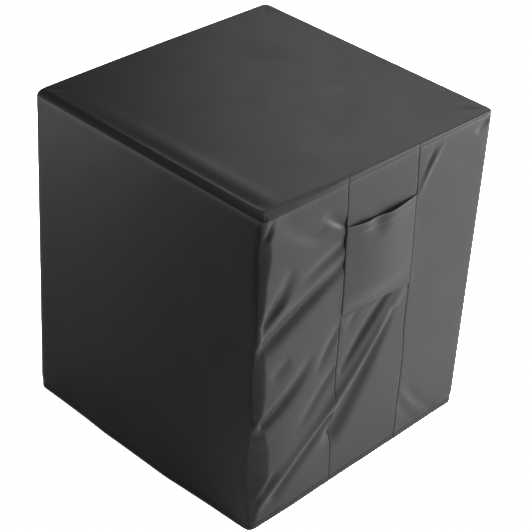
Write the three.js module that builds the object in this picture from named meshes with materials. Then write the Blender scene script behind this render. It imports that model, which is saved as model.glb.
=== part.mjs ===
// Fitted weather cover for a square outdoor air conditioner.
// Eight cut pieces of coated cloth, sewn edge to edge into a box that is open at the bottom:
// a top, three plain walls, and a front wall of three panels with a patch pocket on the middle one.
// Millimetres, +Z up. The hem lies at z = 0 and the front wall, with the pocket, faces -Y.
import * as THREE from "three";

/** Rows of a table as objects, from its column names and its rows of values. */
function table(columns, rows) {
  return rows.map((row) => Object.fromEntries(row.map((value, i) => [columns[i], value])));
}

// Driving sizes
const WIDTH = 813; // across the front, 32 in
const DEPTH = 813; // front to back, 32 in
const HEIGHT = 914; // hem to top, 36 in
const CLOTH = 1.5; // thickness of the coated cloth
const HEM = 20; // height of the turned-up hem
const HEM_CLOTH = 2.6; // cloth and its turn-up, sewn together
const SEAM_GAP = 0.3; // between two pieces that are sewn edge to edge
const TOP_ROLL = 12; // how far in from its seam the top turns down
const POCKET_GAP = 0.5; // between the pocket's sewn edges and the strip behind it
const POCKET_POUCH = 9; // how far the pocket's middle stands off the strip
const HALF_W = WIDTH / 2;
const HALF_D = DEPTH / 2;

// The front wall leans: out at the left of its hem and in at the right, on a line that curves.
const HEM_OUT_LEFT = 8;
const HEM_IN_RIGHT = 13.5;
const LEAN_CURVE = 1.3;

// Broad swellings of the walls, each a soft mound about a centre on its wall.
const FRONT_BELLY = { s: -300, z: 230, reachS: 150, reachZ: 200, out: 10 };
const LEFT_BOW = { s: -50, out: 9 };
const RIGHT_BOW = { s: 40, out: 5 };
const BACK_BOW = { s: -30, out: 7 };

// Height of the top seam below the top, at each corner.
const SEAM_DROP = { frontLeft: 17, frontRight: 6.5, backRight: 10, backLeft: 15 };

// The two long seams of the front wall: x at each height.
const LEFT_SEAM = table(
  ["z", "x"],
  [
    [0, -111],
    [100, -116],
    [240, -118],
    [400, -118],
    [560, -115],
    [780, -121],
    [HEIGHT, -127],
  ],
);
const RIGHT_SEAM = table(
  ["z", "x"],
  [
    [0, 149],
    [250, 151],
    [400, 142],
    [560, 141],
    [770, 133],
    [HEIGHT, 125],
  ],
);

// The front left corner seam, pulled sharp where folds run into it and loose between.
// along: seam's distance from the left wall's plane. back: its distance behind the front wall.
// reach: width of the front cloth that turns toward the seam.
const FRONT_LEFT_CORNER = table(
  ["z", "along", "back", "reach"],
  [
    [0, 9, 8, 24],
    [40, 6, 8, 24],
    [88, 5, 10, 44],
    [127, 5, 12, 60],
    [165, 5, 14, 68],
    [220, 5, 14, 66],
    [280, 4, 11, 50],
    [322, 2, 4, 16],
    [345, 3, 7, 26],
    [410, 4, 10, 38],
    [470, 4, 10, 38],
    [530, 3, 8, 30],
    [562, 2, 3, 12],
    [610, 2, 4, 14],
    [710, 4, 6, 24],
    [795, 4, 9, 38],
    [865, 3, 7, 26],
    [HEIGHT, 2, 3, 10],
  ],
);
const PLAIN_CORNER = table(
  ["z", "along", "back", "reach"],
  [
    [0, 6, 6, 18],
    [30, 3, 3, 14],
    [HEIGHT, 3, 3, 12],
  ],
);
const SIDE_REACH = 13; // width of a side wall that turns toward a corner seam
const TURN_LATENESS = 1.8; // power of the turn: the cloth bends most close to the seam

// Folds of the front wall: a soft trough or ridge along a bowed stroke from (x0, z0) to (x1, z1).
// bow: how far the middle of the stroke lies to the right of its straight line, looking along it.
// wide0, wide1: half widths at the ends. tall0, tallM, tall1: heights, negative for a trough.
const FRONT_FOLDS = table(
  ["name", "x0", "z0", "x1", "z1", "bow", "wide0", "wide1", "tall0", "tallM", "tall1"],
  [
    ["mouth dimple", -119, 777, -219, 861, 0, 12, 22, -5, -5, 0],
    ["mouth wedge", -119, 769, -200, 804, 0, 9, 16, 3, 3, 0],
    ["upper swag", -364, 889, -124, 755, 18, 24, 20, 0, -4, -2],
    ["mouth run", -119, 730, -272, 677, 0, 14, 16, -3, -3, 0],
    ["main trough", -126, 668, -392, 540, 0, 15, 20, -3, -8, -8],
    ["upper trough", -299, 738, -410, 580, -15, 20, 12, 0, -5, -7],
    ["corner ridge", -305, 649, -412, 577, 0, 12, 10, 1, 3, 3],
    ["top pinch", -383, 882, -408, 843, -8, 9, 9, -2, -6, -3],
    ["lower corner trough", -216, 443, -380, 318, -15, 16, 14, -1, -6, -7],
    ["soft patch", -290, 470, -358, 440, 0, 18, 18, 0, -3, 0],
    ["seam run", -128, 478, -196, 382, 0, 13, 14, -2, -3, 0],
    ["lower seam run", -133, 360, -252, 250, 0, 13, 16, -3, -3, -1],
    ["long ridge", 127, 508, -400, 66, -37, 11, 14, 1, 8, 4],
    ["strip trough", 84, 446, -112, 160, -10, 11, 26, -3, -8, -11],
    ["upper strip trough", 54, 504, -94, 349, 0, 13, 11, -5, -8, -3],
    ["under ridge", -135, 214, -322, 74, 9, 15, 18, -9, -8, -4],
    ["hem ridge", -349, 157, -390, 96, 0, 10, 10, 1, 3, 2],
    ["hem corner trough", -333, 137, -400, 58, 0, 12, 11, -3, -5, -5],
    ["pocket tuck", -65, 505, -84, 474, 0, 10, 10, -4, -3, 0],
    ["top seam ridge", 215, 878, 150, 776, 8, 10, 10, 1, 3, 1],
    ["top seam valley", 186, 880, 158, 830, 0, 9, 9, -1, -2, -1],
    ["right top crease", 398, 900, 342, 866, 0, 9, 12, -3, -3, 0],
    ["hem swag, upper", 184, 148, 311, 27, 6, 14, 16, -2, -5, -3],
    ["hem swag ridge", 167, 139, 262, 41, 5, 12, 12, 1, 3, 1],
    ["hem swag, lower", 160, 110, 238, 32, 7, 12, 13, -2, -4, -2],
  ],
);
const FOLD_FADE = 22; // distance over which folds die out toward the top seam and the corners

// The pocket: its bottom edge, and its mouth, which gapes in two places and is pinched between.
const POCKET_BOTTOM = { left: 519, right: 502 };
const POCKET_MOUTH = { left: 774, right: 770, sag: 7 };
const MOUTH_GAPES = [
  { at: 0.14, reach: 0.18, out: 3 },
  { at: 0.66, reach: 0.2, out: 2.5 },
];
const MOUTH_PINCH = { at: 0.42, reach: 0.12, share: 0.8 };
const GAPE_DEPTH = 0.3; // share of the pocket's height that the gapes run down
const POCKET_SOLE = 0.25; // share of its height over which its pouch grows from its bottom seam
const POCKET_FULLNESS = 0.7; // power of the pouch across: below 1, it fills out near its side seams
const FLAT_BEHIND_POCKET = { from: 497, to: 512 }; // folds below die out over this height

// The top: a hollow along its left edge with a shoulder beside it, and a slight sag.
const TOP_HOLLOW = { in: 22, reach: 16, down: 3 };
const TOP_SHOULDER = { in: 62, reach: 22, up: 2.5 };
const TOP_FOLD_START = 447; // y from which the hollow and shoulder grow toward the front
const TOP_FOLD_ENDS = 60; // distance over which they die out at the front and back edges
const TOP_SAG = { down: 2, reach: 244 };

// How finely the pieces are drawn
const ROWS = 38;
const PLAIN_FROM_ROW = 2; // the rows below are the hem's lower and upper edges
const LEFT_PANEL_COLUMNS = 15;
const STRIP_COLUMNS = 13;
const RIGHT_PANEL_COLUMNS = 8;
const WALL_COLUMNS = 6;
const CORNER_CROWDING = 1.35; // columns crowd toward the loose corner
const POCKET_COLUMNS = 13;
const POCKET_ROWS = 9;
const ROLL_STEPS = 4;
const TOP_RINGS = [22, 42, 66, 110, 190, 290]; // distances in from the edge
const SLOPE_STEP = 2; // how far to each side the slope of the cloth is read

const CLOTH_BLACK = new THREE.MeshStandardMaterial({
  color: 0x26272a,
  roughness: 0.42,
  metalness: 0,
});

/** Smooth step from 0 at t = 0 to 1 at t = 1. */
function smooth(t) {
  const c = Math.min(Math.max(t, 0), 1);
  return c * c * (3 - 2 * c);
}

/** Soft mound: 1 at the centre, falling away over the reach. */
function mound(distance, reach) {
  return Math.exp(-((distance / reach) ** 2));
}

/** A column of a table at height z, eased between its rows. */
function read(rows, column, z) {
  let i = 0;
  while (i < rows.length - 2 && z > rows[i + 1].z) i++;
  const [low, high] = [rows[i], rows[i + 1]];
  const t = smooth((z - low.z) / (high.z - low.z));
  return low[column] + t * (high[column] - low[column]);
}

/** Height of one fold at a point of the front wall. */
function foldHeight(fold, x, z) {
  const [dx, dz] = [fold.x1 - fold.x0, fold.z1 - fold.z0];
  const length = Math.hypot(dx, dz);
  const along = ((x - fold.x0) * dx + (z - fold.z0) * dz) / length ** 2;
  const u = Math.min(Math.max(along, 0), 1);
  const across = ((x - fold.x0) * dz - (z - fold.z0) * dx) / length - fold.bow * 4 * u * (1 - u);
  const wide = fold.wide0 + u * (fold.wide1 - fold.wide0);
  const beyond = (along - u) * length;
  const ends = fold.tall0 * (1 - u) * (1 - 2 * u) + fold.tall1 * u * (2 * u - 1);
  const tall = ends + fold.tallM * 4 * u * (1 - u);
  return tall * mound(Math.hypot(across, beyond), wide);
}

/** How far the front wall swells and leans out, without its folds and corners. */
function frontSwell(x, z) {
  const drop = 1 - z / HEIGHT;
  const across = Math.min(Math.max((x + HALF_W) / WIDTH, 0), 1);
  const lean = drop * (HEM_OUT_LEFT - (HEM_OUT_LEFT + HEM_IN_RIGHT) * across ** LEAN_CURVE);
  const { s, z: centre, reachS, reachZ, out } = FRONT_BELLY;
  return lean + out * mound(x - s, reachS) * mound(z - centre, reachZ);
}

/** How far a plain wall bows out: nothing at its ends and at the top, most at the hem. */
function plainSwell(bow, s, z) {
  const half = s < bow.s ? bow.s + HALF_W : HALF_W - bow.s;
  const t = Math.min(Math.abs(s - bow.s) / half, 1);
  return bow.out * (1 - smooth(t)) * smooth(1 - z / HEIGHT);
}

/** How far a wall's cloth turns in toward a corner seam, at a distance from the corner's plane. */
function turnIn(distance, seamAt, depth, reach) {
  const t = Math.max(reach - distance, 0) / (reach - seamAt);
  return depth * t ** TURN_LATENESS;
}

/** Sum of the folds at a point of the front wall, dying out toward its edges and the pocket. */
function frontFolds(x, z) {
  const corner = read(FRONT_LEFT_CORNER, "along", z);
  const ends = smooth((x + HALF_W - corner) / FOLD_FADE) * smooth((HALF_W - x) / FOLD_FADE);
  const top = smooth((HEIGHT - z - SEAM_DROP.frontRight) / FOLD_FADE);
  const onStrip = x > read(LEFT_SEAM, "x", z) && x < read(RIGHT_SEAM, "x", z);
  const { from, to } = FLAT_BEHIND_POCKET;
  const clear = onStrip ? 1 - smooth((z - from) / (to - from)) : 1;
  const sum = FRONT_FOLDS.reduce((total, fold) => total + foldHeight(fold, x, z), 0);
  return sum * ends * top * clear;
}

/** How far the front wall stands out from its plane. */
function frontOut(x, z) {
  const loose = (column) => read(FRONT_LEFT_CORNER, column, z);
  const plain = (column) => read(PLAIN_CORNER, column, z);
  const left = turnIn(x + HALF_W, loose("along"), loose("back"), loose("reach"));
  const right = turnIn(HALF_W - x, plain("along"), plain("back"), plain("reach"));
  return frontSwell(x, z) + frontFolds(x, z) - left - right;
}

/** How far a plain wall stands out, with both its ends turned in to their seams. */
function plainOut(bow, s, z, low, high) {
  const ends = [
    { distance: s - low.at + low.inset, seamAt: low.inset, depth: low.depth },
    { distance: high.at + high.inset - s, seamAt: high.inset, depth: high.depth },
  ];
  const turned = ends.map((e) => turnIn(e.distance, e.seamAt, e.depth, SIDE_REACH + e.seamAt));
  return plainSwell(bow, s, z) - turned[0] - turned[1];
}

/** A corner seam as a side wall meets it: where it lies, its inset there, and its own depth. */
function frontEnd(corner, edgeX, z) {
  const back = read(corner, "back", z);
  return { at: -HALF_D - frontSwell(edgeX, z) + back, inset: back, depth: read(corner, "along", z) };
}

/** The end of a wall at a plain corner: +1 for its high end and -1 for its low end. */
function plainEnd(side, z) {
  const inset = read(PLAIN_CORNER, "back", z);
  return { at: side * (HALF_W - inset), inset, depth: read(PLAIN_CORNER, "along", z) };
}

/** How far the top seam lies below the top at a point of the outline, even between corners. */
function seamDrop(x, y) {
  const [tx, ty] = [(x + HALF_W) / WIDTH, (y + HALF_D) / DEPTH];
  const front = SEAM_DROP.frontLeft * (1 - tx) + SEAM_DROP.frontRight * tx;
  const back = SEAM_DROP.backLeft * (1 - tx) + SEAM_DROP.backRight * tx;
  return front * (1 - ty) + back * ty;
}

// Each wall: where its ends lie at a height, and the point of its outer face at s along it.
const FRONT = {
  inward: new THREE.Vector3(0, 1, 0),
  point: (x, z) => new THREE.Vector3(x, -HALF_D - frontOut(x, z), z),
};
const LEFT = {
  inward: new THREE.Vector3(1, 0, 0),
  low: (z) => frontEnd(FRONT_LEFT_CORNER, -HALF_W, z),
  high: (z) => plainEnd(1, z),
  point(y, z) {
    return new THREE.Vector3(-HALF_W - plainOut(LEFT_BOW, y, z, this.low(z), this.high(z)), y, z);
  },
};
const RIGHT = {
  inward: new THREE.Vector3(-1, 0, 0),
  low: (z) => frontEnd(PLAIN_CORNER, HALF_W, z),
  high: (z) => plainEnd(1, z),
  point(y, z) {
    return new THREE.Vector3(HALF_W + plainOut(RIGHT_BOW, y, z, this.low(z), this.high(z)), y, z);
  },
};
const BACK = {
  inward: new THREE.Vector3(0, -1, 0),
  low: (z) => plainEnd(-1, z),
  high: (z) => plainEnd(1, z),
  point(x, z) {
    return new THREE.Vector3(x, HALF_D + plainOut(BACK_BOW, x, z, this.low(z), this.high(z)), z);
  },
};

/** Height of row r of a wall: the hem's two edges first, then even steps to the wall's top. */
function rowHeight(r, top) {
  const firstPlain = HEM + CLOTH;
  const step = (top - firstPlain) / (ROWS - 1 - PLAIN_FROM_ROW);
  return [0, HEM][r] ?? firstPlain + step * (r - PLAIN_FROM_ROW);
}

/** Geometry of a closed solid from its corner points and the corners of each triangle. */
function closedGeometry(points, faces) {
  const geometry = new THREE.BufferGeometry();
  const numbers = points.flatMap((p) => p.toArray());
  geometry.setAttribute("position", new THREE.Float32BufferAttribute(numbers, 3));
  geometry.setIndex(faces);
  geometry.computeVertexNormals();
  return geometry;
}

/** Closed solid from matching grids of outer and inner points, in rows of equal length. */
function sheetSolid(outer, inner) {
  const [rows, columns] = [outer.length, outer[0].length];
  const corners = [...outer.flat(), ...inner.flat()];
  const index = (layer, r, c) => layer * rows * columns + r * columns + c;
  const faces = [];
  const quad = (a, b, c, d) => faces.push(a, b, c, a, c, d);
  for (let r = 0; r < rows - 1; r++) {
    for (let c = 0; c < columns - 1; c++) {
      quad(index(0, r, c), index(0, r, c + 1), index(0, r + 1, c + 1), index(0, r + 1, c));
      quad(index(1, r, c), index(1, r + 1, c), index(1, r + 1, c + 1), index(1, r, c + 1));
    }
  }
  const last = { r: rows - 1, c: columns - 1 };
  for (let c = 0; c < last.c; c++) {
    quad(index(0, 0, c), index(1, 0, c), index(1, 0, c + 1), index(0, 0, c + 1));
    quad(index(0, last.r, c), index(0, last.r, c + 1), index(1, last.r, c + 1), index(1, last.r, c));
  }
  for (let r = 0; r < last.r; r++) {
    quad(index(0, r, 0), index(0, r + 1, 0), index(1, r + 1, 0), index(1, r, 0));
    quad(index(0, r, last.c), index(1, r, last.c), index(1, r + 1, last.c), index(0, r + 1, last.c));
  }
  return closedGeometry(corners, faces);
}

/** Step from an outer point of a wall to its inner face, square to the cloth. */
function throughCloth(wall, s, z, thickness) {
  const alongS = wall.point(s + SLOPE_STEP, z).sub(wall.point(s - SLOPE_STEP, z));
  const alongZ = wall.point(s, z + SLOPE_STEP).sub(wall.point(s, z - SLOPE_STEP));
  const normal = alongS.cross(alongZ).normalize();
  const facing = Math.sign(normal.dot(wall.inward));
  return normal.multiplyScalar(facing * thickness);
}

/** Height of the upper edge of a wall panel, at a share t of the way along it. */
function upperEdge(wall, panel, t) {
  const [low, high] = [panel.low(HEIGHT), panel.high(HEIGHT)];
  const place = wall.point(low + panel.spread(t) * (high - low), HEIGHT);
  return HEIGHT - seamDrop(place.x, place.y) - SEAM_GAP;
}

/** Outer and inner point of a wall panel at column i and row r. */
function panelPoints(wall, panel, i, r) {
  const t = i / panel.columns;
  const z = rowHeight(r, upperEdge(wall, panel, t));
  const [low, high] = [panel.low(z) + SEAM_GAP / 2, panel.high(z) - SEAM_GAP / 2];
  const s = low + panel.spread(t) * (high - low);
  const thickness = z <= HEM ? HEM_CLOTH : CLOTH;
  const mitre = (i === 0 && panel.lowMitre) || (i === panel.columns && panel.highMitre);
  const step = mitre
    ? mitre.clone().multiplyScalar(thickness)
    : throughCloth(wall, s, z, thickness);
  const point = wall.point(s, z);
  return [point, point.clone().add(step)];
}

/** Grids of one wall panel, each row from left to right as seen from outside. */
function panelGrids(wall, panel) {
  const columns = Array.from({ length: panel.columns + 1 }, (_, i) => i);
  if (panel.reversed) columns.reverse();
  const rows = Array.from({ length: ROWS }, (_, r) => r);
  const pairs = rows.map((r) => columns.map((i) => panelPoints(wall, panel, i, r)));
  const layer = (k) => pairs.map((row) => row.map((pair) => pair[k]));
  return { outer: layer(0), inner: layer(1) };
}

const EVEN = (t) => t;
const LEFT_SEAM_AT = (z) => read(LEFT_SEAM, "x", z);
const RIGHT_SEAM_AT = (z) => read(RIGHT_SEAM, "x", z);
const INTO = {
  frontLeft: new THREE.Vector3(1, 1, 0),
  frontRight: new THREE.Vector3(-1, 1, 0),
  backLeft: new THREE.Vector3(1, -1, 0),
  backRight: new THREE.Vector3(-1, -1, 0),
};

// The panels of the walls in order round the cover, seen from outside from left to right.
const PANELS = {
  front_left_panel: {
    wall: FRONT,
    columns: LEFT_PANEL_COLUMNS,
    low: (z) => -HALF_W + read(FRONT_LEFT_CORNER, "along", z),
    high: LEFT_SEAM_AT,
    spread: (t) => t ** CORNER_CROWDING,
    lowMitre: INTO.frontLeft,
  },
  front_centre_strip: {
    wall: FRONT,
    columns: STRIP_COLUMNS,
    low: LEFT_SEAM_AT,
    high: RIGHT_SEAM_AT,
    spread: EVEN,
  },
  front_right_panel: {
    wall: FRONT,
    columns: RIGHT_PANEL_COLUMNS,
    low: RIGHT_SEAM_AT,
    high: (z) => HALF_W - read(PLAIN_CORNER, "along", z),
    spread: (t) => 1 - (1 - t) ** CORNER_CROWDING,
    highMitre: INTO.frontRight,
  },
  right_wall: {
    wall: RIGHT,
    columns: WALL_COLUMNS,
    low: (z) => RIGHT.low(z).at,
    high: (z) => RIGHT.high(z).at,
    spread: EVEN,
    lowMitre: INTO.frontRight,
    highMitre: INTO.backRight,
  },
  back_wall: {
    wall: BACK,
    columns: WALL_COLUMNS,
    low: (z) => BACK.low(z).at,
    high: (z) => BACK.high(z).at,
    spread: EVEN,
    lowMitre: INTO.backLeft,
    highMitre: INTO.backRight,
    reversed: true,
  },
  left_wall: {
    wall: LEFT,
    columns: WALL_COLUMNS,
    low: (z) => LEFT.low(z).at,
    high: (z) => LEFT.high(z).at,
    spread: EVEN,
    lowMitre: INTO.frontLeft,
    highMitre: INTO.backLeft,
    reversed: true,
  },
};

/** Rise of the top's outer face above its level, at a point in from its edges. */
function topRise(x, y) {
  const fromLeft = x + HALF_W;
  const towardFront = smooth((TOP_FOLD_START - y) / DEPTH);
  const awayFromEnds = smooth((HALF_D - Math.abs(y)) / TOP_FOLD_ENDS);
  const hollow = TOP_HOLLOW.down * mound(fromLeft - TOP_HOLLOW.in, TOP_HOLLOW.reach);
  const shoulder = TOP_SHOULDER.up * mound(fromLeft - TOP_SHOULDER.in, TOP_SHOULDER.reach);
  const sag = TOP_SAG.down * mound(Math.hypot(x, y), TOP_SAG.reach);
  return (shoulder - hollow) * towardFront * awayFromEnds - sag;
}

/** The top: rings that rise from the walls' upper edges, turn over and run in to the middle. */
function topSolid(edge) {
  const shrink = (inset) => 1 - inset / HALF_W;
  const outerRings = [];
  const innerRings = [];
  const addRing = (place, thin) => {
    outerRings.push(edge.map((p) => place(p, 0)));
    innerRings.push(edge.map((p) => place(p, thin)));
  };
  for (let k = 0; k <= ROLL_STEPS; k++) {
    const turn = (k / ROLL_STEPS) * (Math.PI / 2);
    addRing((p, thin) => {
      const scale = shrink(TOP_ROLL * (1 - Math.cos(turn)) + thin * Math.cos(turn));
      const drop = seamDrop(p.x, p.y);
      const z = HEIGHT - (drop * (1 - Math.sin(turn)) + thin * Math.sin(turn));
      return new THREE.Vector3(p.x * scale, p.y * scale, z);
    }, CLOTH);
  }
  for (const inset of TOP_RINGS) {
    addRing((p, thin) => {
      const scale = shrink(inset);
      const [x, y] = [p.x * scale, p.y * scale];
      return new THREE.Vector3(x, y, HEIGHT + topRise(x, y) - thin);
    }, CLOTH);
  }
  return ringSolid(outerRings, innerRings, topRise(0, 0));
}

/** Closed solid from outer and inner rings that run in from an edge to one middle point. */
function ringSolid(outerRings, innerRings, middleRise) {
  const [rings, around] = [outerRings.length, outerRings[0].length];
  const middle = [HEIGHT + middleRise, HEIGHT + middleRise - CLOTH].map((z) => new THREE.Vector3(0, 0, z));
  const points = [...outerRings.flat(), ...innerRings.flat(), ...middle];
  const index = (layer, k, i) => layer * rings * around + k * around + (i % around);
  const centre = (layer) => 2 * rings * around + layer;
  const faces = [];
  for (let i = 0; i < around; i++) {
    for (let k = 0; k < rings - 1; k++) {
      const [a, b, c, d] = [index(0, k, i), index(0, k, i + 1), index(0, k + 1, i + 1), index(0, k + 1, i)];
      faces.push(a, b, c, a, c, d);
      const [e, f, g, h] = [index(1, k, i), index(1, k, i + 1), index(1, k + 1, i + 1), index(1, k + 1, i)];
      faces.push(e, g, f, e, h, g);
    }
    faces.push(index(0, rings - 1, i), index(0, rings - 1, i + 1), centre(0));
    faces.push(index(1, rings - 1, i + 1), index(1, rings - 1, i), centre(1));
    const [low, next] = [index(0, 0, i), index(0, 0, i + 1)];
    const [lowIn, nextIn] = [index(1, 0, i), index(1, 0, i + 1)];
    faces.push(low, nextIn, next, low, lowIn, nextIn);
  }
  return closedGeometry(points, faces);
}

/** How far the pocket's back face stands off the strip, across it (u) and up it (w). */
function pocketStandOff(u, w) {
  const sides = Math.sin(Math.PI * u) ** POCKET_FULLNESS;
  const high = smooth((w - (1 - GAPE_DEPTH)) / GAPE_DEPTH);
  const gape = MOUTH_GAPES.reduce((sum, g) => sum + g.out * mound(u - g.at, g.reach), 0);
  const pinch = MOUTH_PINCH.share * mound(u - MOUTH_PINCH.at, MOUTH_PINCH.reach);
  const pouch = POCKET_POUCH * smooth(w / POCKET_SOLE);
  return POCKET_GAP + sides * (pouch + high * gape) * (1 - high * pinch);
}

/** The patch pocket: sewn into both seams and along its bottom, open at its mouth. */
function pocketSolid() {
  const outer = [];
  const inner = [];
  for (let r = 0; r <= POCKET_ROWS; r++) {
    const w = r / POCKET_ROWS;
    const [outerRow, innerRow] = [[], []];
    for (let c = 0; c <= POCKET_COLUMNS; c++) {
      const u = c / POCKET_COLUMNS;
      const bottom = POCKET_BOTTOM.left + u * (POCKET_BOTTOM.right - POCKET_BOTTOM.left);
      const level = POCKET_MOUTH.left + u * (POCKET_MOUTH.right - POCKET_MOUTH.left);
      const mouth = level - POCKET_MOUTH.sag * Math.sin(Math.PI * u);
      const z = bottom + w * (mouth - bottom);
      const [low, high] = [LEFT_SEAM_AT(z) + SEAM_GAP, RIGHT_SEAM_AT(z) - SEAM_GAP];
      const x = low + u * (high - low);
      const y = -HALF_D - frontOut(x, z) - pocketStandOff(u, w);
      outerRow.push(new THREE.Vector3(x, y - CLOTH, z));
      innerRow.push(new THREE.Vector3(x, y, z));
    }
    outer.push(outerRow);
    inner.push(innerRow);
  }
  return sheetSolid(outer, inner);
}

/** A named piece of the cover. */
function piece(name, geometry) {
  const mesh = new THREE.Mesh(geometry, CLOTH_BLACK.clone());
  mesh.name = name;
  return mesh;
}

const cover = new THREE.Group();
const topEdge = [];
for (const [name, panel] of Object.entries(PANELS)) {
  const { outer, inner } = panelGrids(panel.wall, panel);
  cover.add(piece(name, sheetSolid(outer, inner)));
  topEdge.push(...outer[outer.length - 1].slice(1));
}
cover.add(piece("top_panel", topSolid(topEdge)));
cover.add(piece("front_pocket", pocketSolid()));

export default cover;
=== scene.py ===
"""Fitted weather cover for a square outdoor air conditioner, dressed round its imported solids.

The cloth is drawn in millimetres, with +Z up and the front wall facing -Y, and is turned to
metres where each mesh is made.
"""
import logging
import math
from dataclasses import dataclass, field
from enum import Enum
from typing import Callable

import bpy
import numpy as np
from mathutils import Matrix, Vector


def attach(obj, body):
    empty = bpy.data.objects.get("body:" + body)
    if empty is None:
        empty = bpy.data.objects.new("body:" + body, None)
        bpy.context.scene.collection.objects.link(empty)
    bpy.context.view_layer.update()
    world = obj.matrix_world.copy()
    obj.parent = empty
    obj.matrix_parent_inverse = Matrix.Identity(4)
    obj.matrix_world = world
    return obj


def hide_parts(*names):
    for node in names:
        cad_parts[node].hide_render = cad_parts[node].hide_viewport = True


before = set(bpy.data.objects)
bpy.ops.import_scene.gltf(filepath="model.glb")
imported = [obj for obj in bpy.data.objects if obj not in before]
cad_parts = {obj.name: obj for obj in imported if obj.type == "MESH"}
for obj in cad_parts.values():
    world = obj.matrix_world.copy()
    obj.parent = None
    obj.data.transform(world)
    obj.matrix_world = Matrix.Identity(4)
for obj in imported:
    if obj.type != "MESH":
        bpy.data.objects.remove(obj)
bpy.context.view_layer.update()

log = logging.getLogger("cover")

MM = 0.001
WIDTH = 813.0
HEIGHT = 914.0
HALF = WIDTH / 2
CLOTH = 1.5
HEM = 20.0
HEM_CLOTH = 2.6
SEAM_GAP = 0.3
BODY = "root"

# Width of cloth turned inside at a sewn edge, and how far each of its columns lies inside.
ALLOWANCE = (2.0, 5.5, 9.0)
# Extra grid lines beside a sewn edge, which draw its dip, and the least step between two lines.
SEAM_LINES = (0.8, 1.8, 3.2, 5.2)
LEAST_STEP = 0.3
# Height at which a panel's width is taken when its grid is laid out.
WIDTH_AT = 400.0
# Angle past which an edge of a mesh stays sharp, in degrees.
SHARP_ANGLE = 55.0


def smooth(t: np.ndarray) -> np.ndarray:
    """Smooth step from 0 at t = 0 to 1 at t = 1."""
    c = np.clip(t, 0.0, 1.0)
    return c * c * (3 - 2 * c)


def mound(distance: np.ndarray, reach: float) -> np.ndarray:
    """Soft mound: 1 at the centre, falling away over the reach."""
    return np.exp(-((distance / reach) ** 2))


@dataclass(frozen=True)
class Ladder:
    """Values that change with height, eased between their rows.

    Args:
        columns: names of the columns, the first of them z.
        rows: a row of values for each height, from the hem up.
    """

    columns: tuple[str, ...]
    rows: tuple[tuple[float, ...], ...]

    def read(self, column: str, z: np.ndarray) -> np.ndarray:
        """Reads one column at heights z.

        Args:
            column: name of the column.
            z: heights in millimetres.

        Returns:
            The column's value at each height.
        """
        table = np.array(self.rows)
        heights = table[:, 0]
        values = table[:, self.columns.index(column)]
        low = np.clip(np.searchsorted(heights, z, "left") - 1, 0, len(heights) - 2)
        t = smooth((z - heights[low]) / (heights[low + 1] - heights[low]))
        return values[low] + t * (values[low + 1] - values[low])


# Where the two long seams of the front wall lie, from the hem up.
LEFT_SEAM = Ladder(
    ("z", "x"),
    ((0, -111), (100, -116), (240, -118), (400, -118), (560, -115), (780, -121), (914, -127)),
)
RIGHT_SEAM = Ladder(
    ("z", "x"),
    ((0, 149), (250, 151), (400, 142), (560, 141), (770, 133), (914, 125)),
)
# Corner seams: how far along the front wall and how far back from it the seam lies, and where
# on the front wall the cloth starts to turn in toward it. The plain one serves the back too.
CORNER_COLUMNS = ("z", "along", "back", "reach")
LOOSE_CORNER = Ladder(
    CORNER_COLUMNS,
    (
        (0, 3, 3, 14), (14, 4, 7, 19), (40, 6, 12, 24), (88, 5, 19, 36), (127, 5, 24, 46), (165, 5, 28, 52),
        (220, 5, 28, 51), (280, 4, 21, 39), (322, 2, 7, 16), (345, 3, 13, 24), (410, 4, 18, 32),
        (470, 4, 18, 32), (530, 3, 14, 26), (562, 2, 5, 12), (610, 2, 8, 14), (710, 4, 12, 22),
        (795, 4, 16, 32), (865, 3, 11, 23), (914, 2, 3, 10),
    ),
)
PLAIN_CORNER = Ladder(CORNER_COLUMNS, ((0, 6, 6, 18), (30, 3, 3, 14), (914, 3, 3, 12)))


@dataclass(frozen=True)
class Fold:
    """A soft trough or ridge along a bowed stroke on a wall.

    Args:
        name: what the fold is.
        start: end of the stroke, across and up the wall.
        end: its other end.
        bow: how far its middle lies to the right, looking along it.
        wide: half widths at the two ends.
        tall: heights at the start, the middle and the end, negative for a trough.
    """

    name: str
    start: tuple[float, float]
    end: tuple[float, float]
    bow: float
    wide: tuple[float, float]
    tall: tuple[float, float, float]

    def height(self, s: np.ndarray, z: np.ndarray) -> np.ndarray:
        """Height of the fold.

        Args:
            s: places across the wall.
            z: places up it.

        Returns:
            How far the cloth stands out there because of this fold.
        """
        dx, dz = self.end[0] - self.start[0], self.end[1] - self.start[1]
        length = math.hypot(dx, dz)
        along = ((s - self.start[0]) * dx + (z - self.start[1]) * dz) / length**2
        u = np.clip(along, 0.0, 1.0)
        across = ((s - self.start[0]) * dz - (z - self.start[1]) * dx) / length
        across = across - self.bow * 4 * u * (1 - u)
        wide = self.wide[0] + u * (self.wide[1] - self.wide[0])
        ends = self.tall[0] * (1 - u) * (1 - 2 * u) + self.tall[2] * u * (2 * u - 1)
        tall = ends + self.tall[1] * 4 * u * (1 - u)
        return tall * mound(np.hypot(across, (along - u) * length), wide)


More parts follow.
